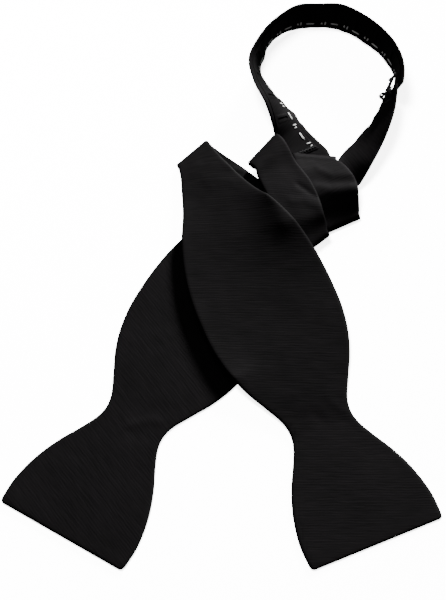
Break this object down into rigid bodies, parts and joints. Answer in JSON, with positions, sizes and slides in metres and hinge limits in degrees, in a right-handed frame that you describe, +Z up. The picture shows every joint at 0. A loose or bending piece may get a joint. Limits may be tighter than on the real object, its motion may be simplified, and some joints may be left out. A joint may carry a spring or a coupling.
{
  "type": "self-tie bow tie",
  "caption": "Black silk self-tie bow tie lying untied, two butterfly blades crossed and folded into an adjustable neckband loop.",
  "frame": {"origin": "middle of the bounding box, on the surface the tie lies on", "axes": "+Z up from that surface, +Y from the blade ends towards the neckband loop, +X to the right when seen from above with the loop away from the viewer"},
  "size_m": [0.2012, 0.2882, 0.0183],
  "materials": {
    "black_silk": "satin",
    "interlining": "matte",
    "black_tape": "matte",
    "black_thread": "satin",
    "white_thread": "satin",
    "black_enamel": "satin"
  },
  "bodies": {
    "neckband": {"front_blade_face": "black_silk", "front_blade_interlining": "interlining", "front_blade_back": "black_silk", "rear_blade_face": "black_silk", "rear_blade_interlining": "interlining", "rear_blade_back": "black_silk", "front_strap_first": "black_silk", "front_strap_cross": "black_silk", "front_strap_under": "black_silk", "hook_strap": "black_silk", "rear_strap_cross": "black_silk", "rear_strap_under": "black_silk", "size_strap": "black_silk", "hook_keeper": "black_silk", "size_tape": "black_tape", "size_marks": "white_thread", "tape_tack": "black_thread", "hook_tack": "black_thread"},
    "front_tip": {"front_tip_face": "black_silk", "front_tip_interlining": "interlining", "front_tip_back": "black_silk"},
    "rear_tip": {"rear_tip_face": "black_silk", "rear_tip_interlining": "interlining", "rear_tip_back": "black_silk"},
    "hook": {"hook": "black_enamel"}
  },
  "joints": [
    {"name": "front_waist", "type": "hinge", "parent": "neckband", "child": "front_tip", "pos_m": [0.04597, -0.07303, 0.0014], "axis": [-0.9212, -0.3891, 0], "range_deg": [0, 110]},
    {"name": "rear_waist", "type": "hinge", "parent": "neckband", "child": "rear_tip", "pos_m": [-0.04043, -0.07298, 0.0014], "axis": [-0.8607, 0.509, 0], "range_deg": [0, 110]},
    {"name": "hook_eye", "type": "hinge", "parent": "neckband", "child": "hook", "pos_m": [0.08071, 0.0972, 0.00966], "axis": [0.3299, -0.1435, 0.933], "range_deg": [0, 35]}
  ]
}
